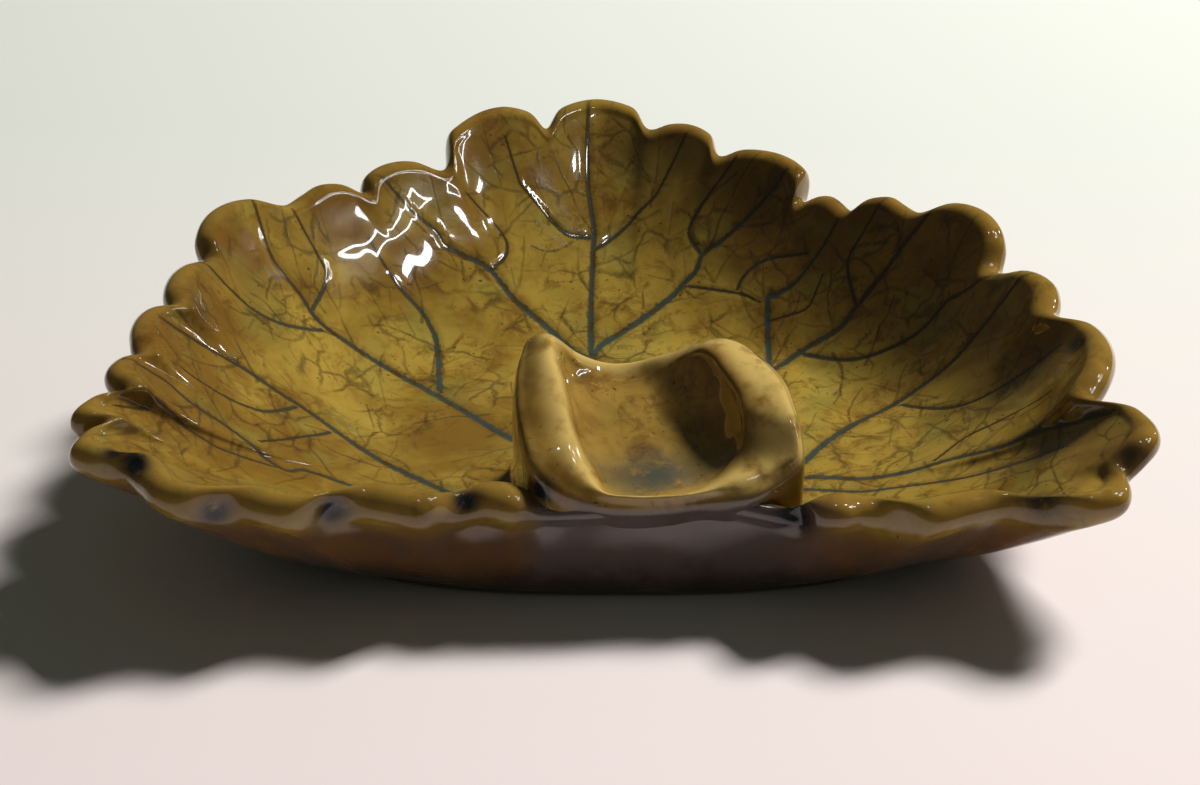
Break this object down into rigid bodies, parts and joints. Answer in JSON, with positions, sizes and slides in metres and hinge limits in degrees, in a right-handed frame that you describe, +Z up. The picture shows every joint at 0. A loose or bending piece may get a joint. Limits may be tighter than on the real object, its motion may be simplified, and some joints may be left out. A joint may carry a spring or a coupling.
{
  "type": "ring dish",
  "caption": "Small glazed leaf-shaped dish with a scalloped rim and a clay saddle rest across the low place of its front edge.",
  "frame": {"origin": "on the table, under the middle of the dish's outline", "axes": "+X to the right along the front rim, +Y from the saddle rest to the far lobe of the leaf, +Z up"},
  "size_m": [0.12, 0.0924, 0.0239],
  "materials": {
    "leaf_glaze": "glossy olive and ochre glaze over pale stoneware",
    "saddle_glaze": "glossy ochre and brown glaze with grey-blue pools"
  },
  "bodies": {
    "root": {"leaf_dish": "leaf_glaze", "saddle_rest": "saddle_glaze"}
  },
  "joints": []
}
